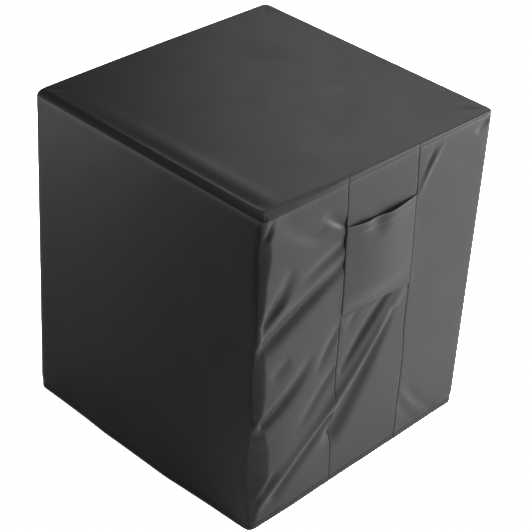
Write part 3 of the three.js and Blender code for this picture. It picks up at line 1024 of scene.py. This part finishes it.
@dataclass(frozen=True)
class StitchRow:
    """A row of lockstitches, drawn as short spindles of thread.

    Args:
        pitch: from one stitch to the next.
        length: length of a stitch.
        thick: thickness of the thread.
        stand: how far the thread's middle stands off the cloth.
    """

    pitch: float = 4.2  # real stitches are shorter, too fine to show, so drawn this coarse
    length: float = 3.2
    thick: float = 0.55  # real thread is thinner too
    stand: float = 0.0

    def build(self, name: str, path: np.ndarray, outward: np.ndarray) -> bpy.types.Object:
        """Sews a row of stitches.

        Args:
            name: name of the row.
            path: closely spaced points of the cloth along the row.
            outward: outward direction at each of them.

        Returns:
            One mesh with all the stitches of the row.
        """
        step = np.linalg.norm(np.diff(path, axis=0), axis=1)
        run = np.concatenate([[0], step.cumsum()])
        middles = np.arange(self.pitch, run[-1] - self.pitch, self.pitch)
        # Rings of a stitch: place along it, width and lift, as shares of its length and thickness.
        rings = ((-0.5, 0.15, -0.5), (-0.25, 0.9, 0.1), (0.25, 0.9, 0.1), (0.5, 0.15, -0.5))
        # Two four-sided faces close each end, which takes six sides.
        sides = 6
        around = np.arange(sides) * 2 * math.pi / sides
        points, faces = [], []
        for middle in middles:
            base = len(points)
            normal = np.array([np.interp(middle, run, outward[:, k]) for k in range(3)])
            ends = [
                np.array([np.interp(middle + e, run, path[:, k]) for k in range(3)])
                for e in (-self.length / 2, self.length / 2)
            ]
            along = (ends[1] - ends[0]) / np.linalg.norm(ends[1] - ends[0])
            side = np.cross(normal, along)
            centre = (ends[0] + ends[1]) / 2 + normal * self.stand
            for at, wide, lift in rings:
                ring = centre + along * at * self.length + normal * lift * self.thick
                for angle in around:
                    spoke = side * math.cos(angle) + normal * math.sin(angle)
                    points.append(ring + spoke * wide * self.thick / 2)
            for k in range(len(rings) - 1):
                for i in range(sides):
                    j = (i + 1) % sides
                    low, high = base + sides * k, base + sides * (k + 1)
                    faces.append((low + i, high + i, high + j, low + j))
            last = base + sides * (len(rings) - 1)
            faces += [(base, base + 1, base + 2, base + 3), (base, base + 3, base + 4, base + 5)]
            faces += [(last + 3, last + 2, last + 1, last), (last + 5, last + 4, last + 3, last)]
        flat = np.array(points)
        return mesh_object(
            name, flat, np.array(faces), np.zeros((len(flat), 2)), np.zeros(len(flat))
        )


STITCHES = StitchRow()


def crowd(count: int, ends: tuple[float, float], span: float) -> np.ndarray:
    """Shares of the way across a panel, with extra lines close to sewn edges.

    Args:
        count: how many even steps.
        ends: 1 for each end that is sewn and 0 for one that is not.
        span: width of the panel.

    Returns:
        Rising shares from 0 to 1.
    """
    near = np.array(SEAM_LINES) / span
    shares = [np.linspace(0, 1, count + 1)]
    if ends[0]:
        shares.append(near)
    if ends[1]:
        shares.append(1 - near)
    merged = np.sort(np.concatenate(shares))
    keep = np.concatenate([[True], np.diff(merged) > LEAST_STEP / span])
    kept = merged[keep]
    kept[-1] = 1.0
    return kept


# How far the top edge of each wall is painted pale, as a share, and how far down that reaches: partly
# rubbing, partly a painted highlight, strongest on the left wall.
EDGE_WEAR_AND_SHEEN = {Side.FRONT: 0.35, Side.LEFT: 1.0, Side.RIGHT: 0.3, Side.BACK: 0.5}
EDGE_WEAR_AND_SHEEN_REACH = 11.0
# How far the hem and the pocket's mouth are rubbed, and how far that reaches.
RUBBED_HEM = (0.5, 3.0)
RUBBED_MOUTH = (0.55, 3.0)


@dataclass
class WallPanel:
    """One panel of a wall, with its hem, its sewn edges and the cloth turned inside at them.

    Args:
        node: the solid that it stands for.
        wall: the wall that it is part of.
        low: where its low edge lies at a height.
        high: where its high edge lies.
        flat: width and length of the cut piece, in metres; not used.
        low_into: way into the cover at its low edge.
        high_into: way in at its high edge.
        columns: even steps across.
        rows: even steps up.
        made: the finished cloth.
        stitches: the finished stitching of its hem.
        edge: points of its upper edge, for the top to meet.
    """

    node: str
    wall: FrontWall | PlainWall
    low: Callable[[np.ndarray], np.ndarray]
    high: Callable[[np.ndarray], np.ndarray]
    flat: tuple[float, float]
    low_into: tuple[float, float]
    high_into: tuple[float, float]
    columns: int
    rows: int
    made: bpy.types.Object | None = None
    stitches: bpy.types.Object | None = None
    edge: np.ndarray | None = None

    def outer_face(self) -> tuple[np.ndarray, np.ndarray]:
        """Points of the outer face, hem to top, and their heights.

        Returns:
            The grid of points, and the heights of the same grid.
        """
        shares = crowd(self.columns, (1, 1), float(self.high(WIDTH_AT) - self.low(WIDTH_AT)))
        top_low, top_high = self.low(HEIGHT), self.high(HEIGHT)
        brim = self.wall.point(top_low + shares * (top_high - top_low), np.full(len(shares), HEIGHT))
        brim_height = HEIGHT - seam_drop(brim[:, 0], brim[:, 1]) - SEAM_GAP
        climb = crowd(self.rows, (0, 1), HEIGHT)[:, None]
        z = climb * brim_height[None, :]
        half_gap = SEAM_GAP / 2
        low, high = self.low(z) + half_gap, self.high(z) - half_gap
        s = low + shares[None, :] * (high - low)
        points = self.wall.point(s, z)
        into = np.array([*self.wall.side.value[0], 0.0])
        self.edge = points[-1].copy()
        lift = HEM_BAND.at(z, s) + DIP.at(brim_height[None, :] - z, s)
        return points - into * lift[..., None], z

    def build(self) -> None:
        """Builds the panel and its hem stitching."""
        points, z = self.outer_face()
        backwards = self.wall.side.value[1]
        into_low, into_high = [np.array([*v, 0.0]) for v in (self.low_into, self.high_into)]
        left = [points[:, :1] + into_low * reach for reach in reversed(ALLOWANCE)]
        right = [points[:, -1:] + into_high * reach for reach in ALLOWANCE]
        wide = np.concatenate([*left, points, *right], axis=1)
        into = np.array([*self.wall.side.value[0], 0.0])
        above = [wide[-1:] + into * reach for reach in ALLOWANCE]
        tall = np.concatenate([wide, *above], axis=0)
        turned = len(ALLOWANCE)
        heights = np.concatenate([z[:, :1]] * turned + [z] + [z[:, -1:]] * turned, axis=1)
        heights = np.concatenate([heights] + [heights[-1:]] * turned, axis=0)
        thickness = np.where(heights <= HEM, HEM_CLOTH, CLOTH)
        below = heights.max(axis=0, keepdims=True) - heights
        wear_and_sheen = RUBBED_HEM[0] * np.exp(-heights / RUBBED_HEM[1])
        # Pale band under the top edge: partly rubbing, partly a painted highlight, strongest on the left
        # wall.
        wear_and_sheen = wear_and_sheen + EDGE_WEAR_AND_SHEEN[self.wall.side] * mound(below, EDGE_WEAR_AND_SHEEN_REACH)
        if backwards:
            tall, thickness, wear_and_sheen = tall[:, ::-1], thickness[:, ::-1], wear_and_sheen[:, ::-1]
        self.made = closed_sheet(self.node + "_cloth", tall, thickness, wear_and_sheen)
        level = int(np.argmin(np.abs(z[:, 0] - HEM_BAND.stitch)))
        row = points[level].copy()
        row[:, 2] = HEM_BAND.stitch
        outward = np.tile(-into, (len(row), 1))
        self.stitches = STITCHES.build(self.node + "_hem_stitching", row, outward)

    def dress(self, finishes: Finishes) -> None:
        """Gives the panel and its stitching their finishes, hangs them under the body, hides the solid that
        the panel stands for and logs its faces.

        Args:
            finishes: the finishes that the pieces share.
        """
        self.made.data.materials.append(finishes.cloth)
        self.stitches.data.materials.append(finishes.thread)
        for piece in (self.made, self.stitches):
            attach(piece, BODY)
        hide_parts(self.node)
        log.info("%s: %d faces", self.made.name, len(self.made.data.polygons))


@dataclass
class TopPanel:
    """The top: its edges turn down to the seam, and a hollow runs along its left edge.

    Args:
        roll: width of the turned-down edge where it is tight and where it is slack.
        sharp_drop: drop of the seam up to which the edge rolls over tightly.
        slack_drop: drop from which it slants down instead.
        hollow: distance from the left edge, reach and depth of the hollow.
        shoulder: distance from the left edge, reach and height of the swelling beside it.
        fold_start: place behind the back edge from which both grow toward the front.
        fold_ends: distance over which both die out at the front and back edges.
        sag: depth and reach of the sag in the middle.
        fine_fade: distance over which folds and unevenness die out at the edges.
        sewn_dip: depth of the dip at the sewing, and how far round the roll it reaches.
        roll_rings: rings of points on the roll.
        edge_wear: how far the roll is rubbed pale.
        near_rings: first distance past the roll, last distance and step of the close rings.
        far_rings: how many rings fill the rest.
        centre_gap: distance from the middle at which the last ring lies.
        flat: width and length of the cut piece, in metres; not used.
        ripples: its small unevenness.
        made: the finished cloth.
    """

    roll: tuple[float, float] = (4.0, 20.0)
    sharp_drop: float = 12.0
    slack_drop: float = 17.0
    hollow: tuple[float, float, float] = (22.0, 16.0, 3.0)
    shoulder: tuple[float, float, float] = (62.0, 22.0, 2.5)
    fold_start: float = 447.0
    fold_ends: float = 60.0
    sag: tuple[float, float] = (2.0, 244.0)
    fine_fade: float = 14.0
    sewn_dip: tuple[float, float] = (0.9, 0.22)
    roll_rings: int = 12
    edge_wear: float = 0.25
    near_rings: tuple[float, float, float] = (3.5, 110.0, 4.5)
    far_rings: int = 30
    centre_gap: float = 0.3
    flat: tuple[float, float] = (0.853, 0.853)
    ripples: Ripples = Ripples(31, 0.14, 160, 420)
    made: bpy.types.Object | None = None

    def rise(self, x: np.ndarray, y: np.ndarray) -> np.ndarray:
        """How far the top's outer face rises above its level.

        Args:
            x: places to the right.
            y: places to the back.

        Returns:
            The rise at each place.
        """
        from_left = x + HALF
        front = smooth((self.fold_start - y) / WIDTH)
        inside = smooth((HALF - np.abs(y)) / self.fold_ends)
        hollow = self.hollow[2] * mound(from_left - self.hollow[0], self.hollow[1])
        shoulder = self.shoulder[2] * mound(from_left - self.shoulder[0], self.shoulder[1])
        sag = self.sag[0] * mound(np.hypot(x, y), self.sag[1])
        edge = np.minimum(HALF - np.abs(x), HALF - np.abs(y))
        fine = sum(fold.height(x, y) for fold in TOP_FOLDS) + self.ripples.at(x, y)
        fine = fine * smooth((edge - self.roll[1]) / self.fine_fade)
        return (shoulder - hollow) * front * inside - sag + fine

    @staticmethod
    def drawn_in(brim: np.ndarray, inset: np.ndarray | float) -> tuple[np.ndarray, np.ndarray]:
        """The outline drawn in toward the middle.

        Args:
            brim: points round the outline.
            inset: how far it is drawn in.

        Returns:
            Places to the right and to the back of each point.
        """
        scale = 1 - inset / HALF
        return brim[:, 0] * scale, brim[:, 1] * scale

    def build(self, brim: np.ndarray) -> None:
        """Builds the top from the outline of the walls' upper edges.

        Args:
            brim: points round the outline, seen from outside from left to right.
        """
        drop = seam_drop(brim[:, 0], brim[:, 1])
        slant = smooth((drop - self.sharp_drop) / (self.slack_drop - self.sharp_drop))
        roll = self.roll[0] + (self.roll[1] - self.roll[0]) * slant
        rings = []
        for reach in reversed(ALLOWANCE):
            x, y = self.drawn_in(brim, reach)
            rings.append(np.stack([x, y, HEIGHT - drop], -1))
        # From the seam the edge rolls up and over, or slants where the seam lies low: along the
        # left edge and the left part of the front and back ones. It dips a little at the sewing.
        for turn in np.linspace(0, math.pi / 2, self.roll_rings):
            t = turn / (math.pi / 2)
            inset = roll * (slant * t + (1 - slant) * (1 - math.cos(turn)))
            inset = inset + self.sewn_dip[0] * math.exp(-turn / self.sewn_dip[1])
            x, y = self.drawn_in(brim, inset)
            down = slant * (1 - t) ** 2 + (1 - slant) * (1 - math.sin(turn))
            z = HEIGHT - drop * down + self.rise(x, y) * t**3
            rings.append(np.stack([x, y, z], -1))
        start, end, step = self.near_rings
        near = np.arange(start, end - self.roll[1], step)
        far = np.linspace(end, HALF - self.centre_gap, self.far_rings)
        for inset in (*(roll + away for away in near), *far):
            x, y = self.drawn_in(brim, inset)
            rings.append(np.stack([x, y, HEIGHT + self.rise(x, y)], -1))
        outer = np.stack(rings)
        wear_and_sheen = np.zeros(outer.shape[:2])
        rolled = slice(len(ALLOWANCE), len(ALLOWANCE) + self.roll_rings)
        wear_and_sheen[rolled] = self.edge_wear * np.sin(np.linspace(0, math.pi, self.roll_rings))[:, None]
        self.made = closed_sheet(
            "top_panel_cloth", outer, np.full(outer.shape[:2], CLOTH), wear_and_sheen, around=True
        )

    def dress(self, finishes: Finishes) -> None:
        """Gives the top its finish, hangs it under the body, hides the solid that it stands for and logs
        its faces.

        Args:
            finishes: the finishes that the pieces share.
        """
        self.made.data.materials.append(finishes.cloth)
        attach(self.made, BODY)
        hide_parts("top_panel")
        log.info("%s: %d faces", self.made.name, len(self.made.data.polygons))


@dataclass
class PatchPocket:
    """The pocket on the strip, sewn in at its sides and bottom, with a hemmed mouth.

    Args:
        bottom: heights of its foot at its two ends.
        mouth: heights of its mouth at its two ends.
        span: its width and its height, which are nearly alike.
        mouth_sag: how far the mouth sags in the middle.
        gap: how far its sewn edges stand off the strip.
        pouch: how much farther its middle stands off.
        gapes: place across, reach and depth of each spot where the mouth gapes.
        pinch: place across, reach and share by which the mouth is held in there.
        gape_depth: share of the height over which the mouth opens.
        sole: share of the height over which the pouch fills.
        fullness: power of its profile, fuller the lower it is.
        mouth_hem: width of the mouth's hem.
        foot_hem: distance of the stitching from the foot.
        hem_full: how far a hem stands out.
        hem_edge: distance over which it does so.
        hem_groove: depth and reach of the groove along its stitching.
        hem_ends: how soon the hems are full away from the pocket's sides, sooner nearer 0.
        row_ends: shares of the width between which the stitching runs.
        row_points: points along the stitching.
        columns: even steps across.
        rows: even steps up.
        flat: width and length of the cut piece, in metres; not used.
        made: the finished cloth.
        stitches: the finished stitching.
    """

    bottom: tuple[float, float] = (519.0, 502.0)
    mouth: tuple[float, float] = (774.0, 770.0)
    span: float = 260.0
    mouth_sag: float = 7.0
    gap: float = 0.5
    pouch: float = 8.0
    gapes: tuple[tuple[float, float, float], ...] = ((0.14, 0.2, 2.0), (0.66, 0.22, 1.8))
    pinch: tuple[float, float, float] = (0.42, 0.12, 0.8)
    gape_depth: float = 0.3
    sole: float = 0.25
    fullness: float = 1.1
    mouth_hem: float = 26.0
    foot_hem: float = 22.0
    hem_full: float = 0.5
    hem_edge: float = 4.0
    hem_groove: tuple[float, float] = (0.3, 1.8)
    hem_ends: float = 0.3
    row_ends: tuple[float, float] = (0.015, 0.985)
    row_points: int = 160
    columns: int = 104
    rows: int = 104
    flat: tuple[float, float] = (0.28, 0.30)
    made: bpy.types.Object | None = None
    stitches: list[bpy.types.Object] = field(default_factory=list)

    def stand_off(self, u: np.ndarray, w: np.ndarray) -> np.ndarray:
        """How far the pocket's back face stands off the strip.

        Args:
            u: shares of the way across.
            w: shares of the way up.

        Returns:
            The distance at each place.
        """
        sides = np.sin(np.pi * np.clip(u, 0, 1)) ** self.fullness
        high = smooth((w - (1 - self.gape_depth)) / self.gape_depth)
        gape = sum(out * mound(u - at, reach) for at, reach, out in self.gapes)
        pinch = self.pinch[2] * mound(u - self.pinch[0], self.pinch[1])
        fill = self.pouch * smooth(w / self.sole) + high * gape
        return self.gap + sides * fill * (1 - high * pinch)

    def hem(self, distance: np.ndarray, width: float) -> np.ndarray:
        """How far the cloth stands out in a hem, and how far it dips at its stitching.

        Args:
            distance: how far from the hem's edge.
            width: width of the hem.

        Returns:
            The height at each distance.
        """
        full = 1 - smooth((distance - width + self.hem_edge / 2) / self.hem_edge)
        depth, reach = self.hem_groove
        return self.hem_full * full - depth * mound(distance - width, reach)

    def face(self, u: np.ndarray, w: np.ndarray) -> np.ndarray:
        """Points of the pocket's outer face.

        Args:
            u: shares of the way across.
            w: shares of the way up.

        Returns:
            The points.
        """
        foot = self.bottom[0] + u * (self.bottom[1] - self.bottom[0])
        level = self.mouth[0] + u * (self.mouth[1] - self.mouth[0])
        brim = level - self.mouth_sag * np.sin(np.pi * u)
        z = foot + w * (brim - foot)
        low, high = LEFT_SEAM.read("x", z) + SEAM_GAP, RIGHT_SEAM.read("x", z) - SEAM_GAP
        x = low + u * (high - low)
        hems = self.hem(brim - z, self.mouth_hem) + self.hem(z - foot, self.foot_hem)
        hems = hems * np.sin(np.pi * u) ** self.hem_ends
        out = FRONT.out(x, z) + self.stand_off(u, w) + CLOTH + hems
        return np.stack([x, -HALF - out, z], axis=-1)

    def build(self) -> None:
        """Builds the pocket and the stitching of its mouth and foot."""
        u = crowd(self.columns, (1, 1), self.span)[None, :]
        w = crowd(self.rows, (1, 1), self.span)[:, None]
        u, w = np.broadcast_arrays(u, w)
        outer = self.face(u, w)
        wear_and_sheen = RUBBED_MOUTH[0] * np.exp(-(1 - w) * self.span / RUBBED_MOUTH[1])
        self.made = closed_sheet("front_pocket_cloth", outer, np.full(u.shape, CLOTH), wear_and_sheen)
        line = np.linspace(*self.row_ends, self.row_points)
        rows = {"mouth": 1 - self.mouth_hem / self.span, "foot": self.foot_hem / self.span}
        for name, share in rows.items():
            path = self.face(line, np.full(line.shape, share))
            outward = np.tile((0.0, -1.0, 0.0), (len(path), 1))
            self.stitches.append(STITCHES.build(f"front_pocket_{name}_stitching", path, outward))

    def dress(self, finishes: Finishes) -> None:
        """Gives the pocket and its stitching their finishes, hangs them under the body, hides the solid
        that the pocket stands for and logs its faces.

        Args:
            finishes: the finishes that the pieces share.
        """
        self.made.data.materials.append(finishes.cloth)
        for row in self.stitches:
            row.data.materials.append(finishes.thread)
        for piece in (self.made, *self.stitches):
            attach(piece, BODY)
        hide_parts("front_pocket")
        log.info("%s: %d faces", self.made.name, len(self.made.data.polygons))


def mitre(x: float, y: float) -> tuple[float, float]:
    """Way into the cover at a corner, halfway between those of its two walls."""
    return x * math.sqrt(0.5), y * math.sqrt(0.5)


def left_seam(z: np.ndarray) -> np.ndarray:
    """Where the left long seam of the front wall lies."""
    return LEFT_SEAM.read("x", z)


def right_seam(z: np.ndarray) -> np.ndarray:
    """Where the right long seam of the front wall lies."""
    return RIGHT_SEAM.read("x", z)


def left_edge(z: np.ndarray) -> np.ndarray:
    """Where the corner seam at the front wall's left lies."""
    return -HALF + LOOSE_CORNER.read("along", z)


def right_edge(z: np.ndarray) -> np.ndarray:
    """Where the corner seam at the front wall's right lies."""
    return HALF - PLAIN_CORNER.read("along", z)


@dataclass
class Cover:
    """The whole cover: six wall panels, the top and the pocket.

    Args:
        panels: the wall panels, in order round the cover.
        top: the top.
        pocket: the pocket.
    """

    panels: list[WallPanel] = field(default_factory=list)
    top: TopPanel = field(default_factory=TopPanel)
    pocket: PatchPocket = field(default_factory=PatchPocket)

    def __post_init__(self) -> None:
        """Lists the panels in order round the cover, seen from outside from left to right."""
        inward = (0.0, 1.0)
        self.panels = [
            WallPanel("front_left_panel", FRONT, left_edge, left_seam, (0.31, 0.94),
                      mitre(1, 1), inward, 100, 300),
            WallPanel("front_centre_strip", FRONT, left_seam, right_seam, (0.28, 0.94),
                      inward, inward, 92, 300),
            WallPanel("front_right_panel", FRONT, right_seam, right_edge, (0.28, 0.94),
                      inward, mitre(-1, 1), 84, 260),
            WallPanel("right_wall", RIGHT, RIGHT.low_edge, RIGHT.high_edge, (0.83, 0.94),
                      mitre(-1, 1), mitre(-1, -1), 130, 150),
            WallPanel("back_wall", BACK, BACK.low_edge, BACK.high_edge, (0.83, 0.94),
                      mitre(1, -1), mitre(-1, -1), 130, 150),
            WallPanel("left_wall", LEFT, LEFT.low_edge, LEFT.high_edge, (0.83, 0.94),
                      mitre(1, 1), mitre(1, -1), 150, 180),
        ]

    def build(self) -> None:
        """Builds the pieces in order."""
        brim = []
        for panel in self.panels:
            panel.build()
            edge = panel.edge[::-1] if panel.wall.side.value[1] else panel.edge
            brim.append(edge[1:])
        self.top.build(np.concatenate(brim))
        self.pocket.build()

    def dress(self, finishes: Finishes) -> None:
        """Dresses the pieces in order.

        Args:
            finishes: the finishes that the pieces share.
        """
        self.top.dress(finishes)
        for panel in self.panels:
            panel.dress(finishes)
        self.pocket.dress(finishes)


@dataclass(frozen=True)
class SoftPanelLight:
    """A soft rectangular studio light.

    Args:
        name: what it lights.
        place: where it stands, in metres.
        aim: the point that it faces.
        size: its width and height, in metres.
        spread: angle that its grid lets out, in degrees.
        power: its power in watts.
    """

    name: str
    place: tuple[float, float, float]
    aim: tuple[float, float, float]
    size: tuple[float, float]
    spread: float
    power: float

    def build(self) -> None:
        """Places the light, facing the point that it is aimed at."""
        light = bpy.data.lights.new(self.name, "AREA")
        light.shape = "RECTANGLE"
        light.size, light.size_y = self.size
        light.energy = self.power
        light.spread = math.radians(self.spread)
        made = bpy.data.objects.new(self.name, light)
        made.location = self.place
        made.rotation_mode = "QUATERNION"
        facing = Vector(self.aim) - Vector(self.place)
        made.rotation_quaternion = facing.to_track_quat("-Z", "Y")
        bpy.context.scene.collection.objects.link(made)


@dataclass
class Studio:
    """A pale floor, soft lights and the camera.

    Args:
        floor_half: half the width of the floor, in metres.
        sky: strength of the even light from all round.
        azimuth: direction from which the camera looks, in degrees.
        elevation: how high it looks from.
        roll: how far it is turned about its own axis.
        place: where it stands, in metres.
        focal_pixels: its focal length, in pixels of the photograph.
        image_pixels: width of the photograph.
        sensor: width of its sensor, in millimetres.
        lights: the soft lights.
        white_from: linear tone up to which tones stay as they are.
        white_at: linear tone from which all is white.
    """

    floor_half: float = 30.0
    sky: float = 0.66
    azimuth: float = -46.634
    elevation: float = 32.533
    roll: float = 3.386
    place: tuple[float, float, float] = (-2.94783, -2.81719, 3.02239)
    focal_pixels: float = 1826.975
    image_pixels: float = 530.0
    sensor: float = 36.0
    lights: tuple[SoftPanelLight, ...] = (
        SoftPanelLight("floor pool", (0.45, -1.75, 2.6), (0.35, -1.65, 0), (1.6, 1.6), 80, 134),
        SoftPanelLight("grazing key", (3.4, -1.7, 0.44), (0, -0.4, 0.44), (1.8, 0.8), 180, 420),
        SoftPanelLight("top sheen", (2.0, 1.3, 2.3), (0.1, 0.2, 0.9), (1.5, 1.0), 180, 31),
        SoftPanelLight("left sheen", (-1.35, 1.35, 0.35), (-0.4, 0.3, 0.75), (0.7, 0.5), 180, 15),
    )
    white_from: float = 0.28
    white_at: float = 0.42

    def build(self) -> None:
        """Builds the floor, the lights and the camera."""
        self.build_floor()
        for light in self.lights:
            light.build()
        world = bpy.data.worlds.new("studio air")
        world.use_nodes = True
        background = world.node_tree.nodes["Background"]
        background.inputs["Color"].default_value = (1, 1, 1, 1)
        background.inputs["Strength"].default_value = self.sky
        bpy.context.scene.world = world
        self.set_white_point()
        self.build_camera()

    def set_white_point(self) -> None:
        """Keeps dark tones as they are and lifts the pale floor to white."""
        view = bpy.context.scene.view_settings
        view.view_transform = "Standard"
        view.use_curve_mapping = True
        # The fourth curve turns all three colours alike.
        tone = view.curve_mapping.curves[3]
        tone.points.new(self.white_from, self.white_from)
        tone.points.new(self.white_at, 1.0)
        for point in tone.points:
            point.handle_type = "VECTOR"
        view.curve_mapping.update()

    def build_floor(self) -> None:
        """Builds the floor, which isn't part of the object."""
        h = self.floor_half
        mesh = bpy.data.meshes.new("studio_floor")
        mesh.from_pydata([(-h, -h, 0), (h, -h, 0), (h, h, 0), (-h, h, 0)], [], [(0, 1, 2, 3)])
        mesh.materials.append(StudioPaint().build())
        floor = bpy.data.objects.new("studio_floor", mesh)
        bpy.context.scene.collection.objects.link(floor)

    def build_camera(self) -> None:
        """Builds the camera at the photograph's viewing angle."""
        a, e, r = (math.radians(v) for v in (self.azimuth, self.elevation, self.roll))
        back = Vector((math.sin(a) * math.cos(e), -math.cos(a) * math.cos(e), math.sin(e)))
        right = Vector((math.cos(a), math.sin(a), 0))
        up = back.cross(right)
        across = right * math.cos(r) + up * math.sin(r)
        upward = up * math.cos(r) - right * math.sin(r)
        lens = bpy.data.cameras.new("camera")
        lens.sensor_width = self.sensor
        lens.lens = self.focal_pixels / self.image_pixels * self.sensor
        camera = bpy.data.objects.new("camera", lens)
        turned = Matrix((across, upward, back)).transposed()
        camera.matrix_world = Matrix.Translation(self.place) @ turned.to_4x4()
        bpy.context.scene.collection.objects.link(camera)
        bpy.context.scene.camera = camera


def main() -> None:
    """Builds the studio and the cover, and dresses each piece."""
    logging.basicConfig(level=logging.INFO, format="%(message)s")
    Studio().build()
    cover = Cover()
    cover.build()
    cover.dress(Finishes())


if __name__ == "__main__":
    main()
